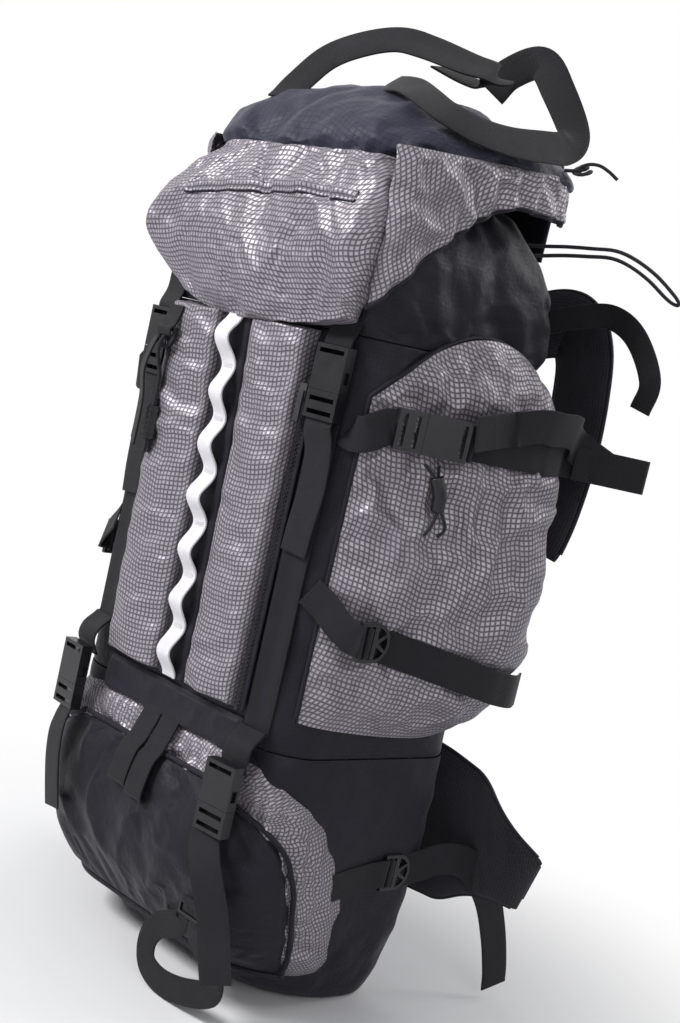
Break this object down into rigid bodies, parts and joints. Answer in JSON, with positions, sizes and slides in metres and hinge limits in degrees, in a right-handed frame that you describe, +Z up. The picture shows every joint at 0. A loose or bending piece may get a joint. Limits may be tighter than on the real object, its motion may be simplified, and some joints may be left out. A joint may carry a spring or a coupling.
{
  "type": "hiking backpack",
  "caption": "Large internal-frame trekking rucksack standing upright, with a hinged lid, stuffed side pockets, a bellows lower pocket, webbing, side-release buckles, shoulder straps and a hip belt",
  "frame": {"origin": "middle of the flat underside of the base", "axes": "+Z up along the pack, -Y the front with the lower pocket, +Y the wearer, +X the wearer's right"},
  "size_m": [0.5188, 0.3828, 0.8853],
  "materials": {
    "bag_black": "matte coated weave",
    "lid_navy": "matte ripstop",
    "cloth_grey": "matte coated weave",
    "webbing_black": "flat woven webbing",
    "chain_white": "flat woven tape",
    "foam_black": "mesh over foam",
    "plastic_black": "satin moulded",
    "sheet_white": "moulded sheet",
    "alloy_grey": "dull plated",
    "cord_black": "braided"
  },
  "bodies": {
    "pack": {"lower_bag": "bag_black", "upper_bag": "bag_black", "snow_collar": "bag_black", "front_strip": "bag_black", "lower_pocket_face": "bag_black", "lower_pocket_gusset": "cloth_grey", "side_pocket_left": "cloth_grey", "front_panel_left": "cloth_grey", "front_zip_left": "bag_black", "side_upper_strap_left": "webbing_black", "side_lower_strap_left": "webbing_black", "side_front_strap_left": "webbing_black", "front_webbing_left": "webbing_black", "load_lifter_left": "webbing_black", "lid_socket_left": "plastic_black", "lower_socket_left": "plastic_black", "side_socket_left": "plastic_black", "side_pocket_right": "cloth_grey", "front_panel_right": "cloth_grey", "front_zip_right": "bag_black", "side_upper_strap_right": "webbing_black", "side_lower_strap_right": "webbing_black", "side_front_strap_right": "webbing_black", "front_webbing_right": "webbing_black", "load_lifter_right": "webbing_black", "lid_socket_right": "plastic_black", "lower_socket_right": "plastic_black", "side_socket_right": "plastic_black", "tool_loop": "webbing_black", "daisy_chain": "chain_white", "drawcord": "cord_black", "frame_sheet": "sheet_white", "back_pad": "foam_black"},
    "lid": {"lid_top": "lid_navy", "lid_front_pocket": "cloth_grey", "lid_wing_left": "cloth_grey", "lid_wing_right": "cloth_grey", "lid_strap_arch": "webbing_black", "lid_strap_band": "webbing_black"},
    "lid_plug_left": {"lid_plug_left": "plastic_black"},
    "lower_plug_left": {"lower_plug_left": "plastic_black"},
    "side_plug_left": {"side_plug_left": "plastic_black"},
    "front_zip_slider_left": {"front_zip_slider_left": "alloy_grey"},
    "ladder_lock_left": {"ladder_lock_left": "plastic_black"},
    "hip_ladder_lock_left": {"hip_ladder_lock_left": "plastic_black"},
    "shoulder_strap_left": {"shoulder_strap_left": "foam_black"},
    "hip_belt_left": {"hip_belt_left": "foam_black"},
    "lid_plug_right": {"lid_plug_right": "plastic_black"},
    "lower_plug_right": {"lower_plug_right": "plastic_black"},
    "side_plug_right": {"side_plug_right": "plastic_black"},
    "front_zip_slider_right": {"front_zip_slider_right": "alloy_grey"},
    "ladder_lock_right": {"ladder_lock_right": "plastic_black"},
    "hip_ladder_lock_right": {"hip_ladder_lock_right": "plastic_black"},
    "shoulder_strap_right": {"shoulder_strap_right": "foam_black"},
    "hip_belt_right": {"hip_belt_right": "foam_black"},
    "d_ring": {"d_ring": "plastic_black", "bungee_cord": "cord_black", "cord_barrel": "plastic_black"},
    "loop_ring": {"loop_ring": "plastic_black", "ring_loop": "webbing_black"}
  },
  "joints": [
    {"name": "lid_hinge", "type": "hinge", "parent": "pack", "child": "lid", "pos_m": [0, 0.1, 0.702], "axis": [-1, 0, 0], "range_deg": [0, 95]},
    {"name": "lid_plug_left_slide", "type": "slide", "parent": "pack", "child": "lid_plug_left", "axis": [0, 0, -1], "range_m": [0, 0.026]},
    {"name": "lower_plug_left_slide", "type": "slide", "parent": "pack", "child": "lower_plug_left", "axis": [0, 0, -1], "range_m": [0, 0.026]},
    {"name": "side_plug_left_slide", "type": "slide", "parent": "pack", "child": "side_plug_left", "axis": [0.557, -0.8305, 0], "range_m": [0, 0.026], "deforming": ["side_front_strap_left"]},
    {"name": "front_zip_left_slide", "type": "slide", "parent": "pack", "child": "front_zip_slider_left", "axis": [0, 0, -1], "range_m": [0, 0.24]},
    {"name": "ladder_lock_left_tilt", "type": "hinge", "parent": "pack", "child": "ladder_lock_left", "pos_m": [-0.183, -0.0952, 0.356], "axis": [0, 0, 1], "range_deg": [0, 35]},
    {"name": "hip_ladder_lock_left_tilt", "type": "hinge", "parent": "pack", "child": "hip_ladder_lock_left", "pos_m": [-0.1562, 0.0301, 0.135], "axis": [0, 0, 1], "range_deg": [0, 35]},
    {"name": "shoulder_strap_left_swing", "type": "hinge", "parent": "pack", "child": "shoulder_strap_left", "pos_m": [-0.022, 0.1206, 0.6], "axis": [0, 0, -1], "range_deg": [0, 50]},
    {"name": "hip_belt_left_swing", "type": "hinge", "parent": "pack", "child": "hip_belt_left", "pos_m": [-0.0565, 0.121, 0.168], "axis": [0, 0, -1], "range_deg": [0, 75]},
    {"name": "lid_plug_right_slide", "type": "slide", "parent": "pack", "child": "lid_plug_right", "axis": [0, 0, -1], "range_m": [0, 0.026]},
    {"name": "lower_plug_right_slide", "type": "slide", "parent": "pack", "child": "lower_plug_right", "axis": [0, 0, -1], "range_m": [0, 0.026]},
    {"name": "side_plug_right_slide", "type": "slide", "parent": "pack", "child": "side_plug_right", "axis": [-0.557, -0.8305, 0], "range_m": [0, 0.026], "deforming": ["side_front_strap_right"]},
    {"name": "front_zip_right_slide", "type": "slide", "parent": "pack", "child": "front_zip_slider_right", "axis": [0, 0, -1], "range_m": [0, 0.24]},
    {"name": "ladder_lock_right_tilt", "type": "hinge", "parent": "pack", "child": "ladder_lock_right", "pos_m": [0.183, -0.0952, 0.356], "axis": [0, 0, -1], "range_deg": [0, 35]},
    {"name": "hip_ladder_lock_right_tilt", "type": "hinge", "parent": "pack", "child": "hip_ladder_lock_right", "pos_m": [0.1562, 0.0301, 0.135], "axis": [0, 0, -1], "range_deg": [0, 35]},
    {"name": "shoulder_strap_right_swing", "type": "hinge", "parent": "pack", "child": "shoulder_strap_right", "pos_m": [0.022, 0.1206, 0.6], "axis": [0, 0, 1], "range_deg": [0, 50]},
    {"name": "hip_belt_right_swing", "type": "hinge", "parent": "pack", "child": "hip_belt_right", "pos_m": [0.0565, 0.121, 0.168], "axis": [0, 0, 1], "range_deg": [0, 75]},
    {"name": "d_ring_swing", "type": "hinge", "parent": "pack", "child": "d_ring", "pos_m": [-0.08, -0.153, 0.5702], "axis": [-1, 0, 0], "range_deg": [0, 60]},
    {"name": "loop_ring_swing", "type": "hinge", "parent": "pack", "child": "loop_ring", "pos_m": [0.101, -0.1331, 0.0969], "axis": [-1, 0, 0], "range_deg": [0, 60]}
  ]
}
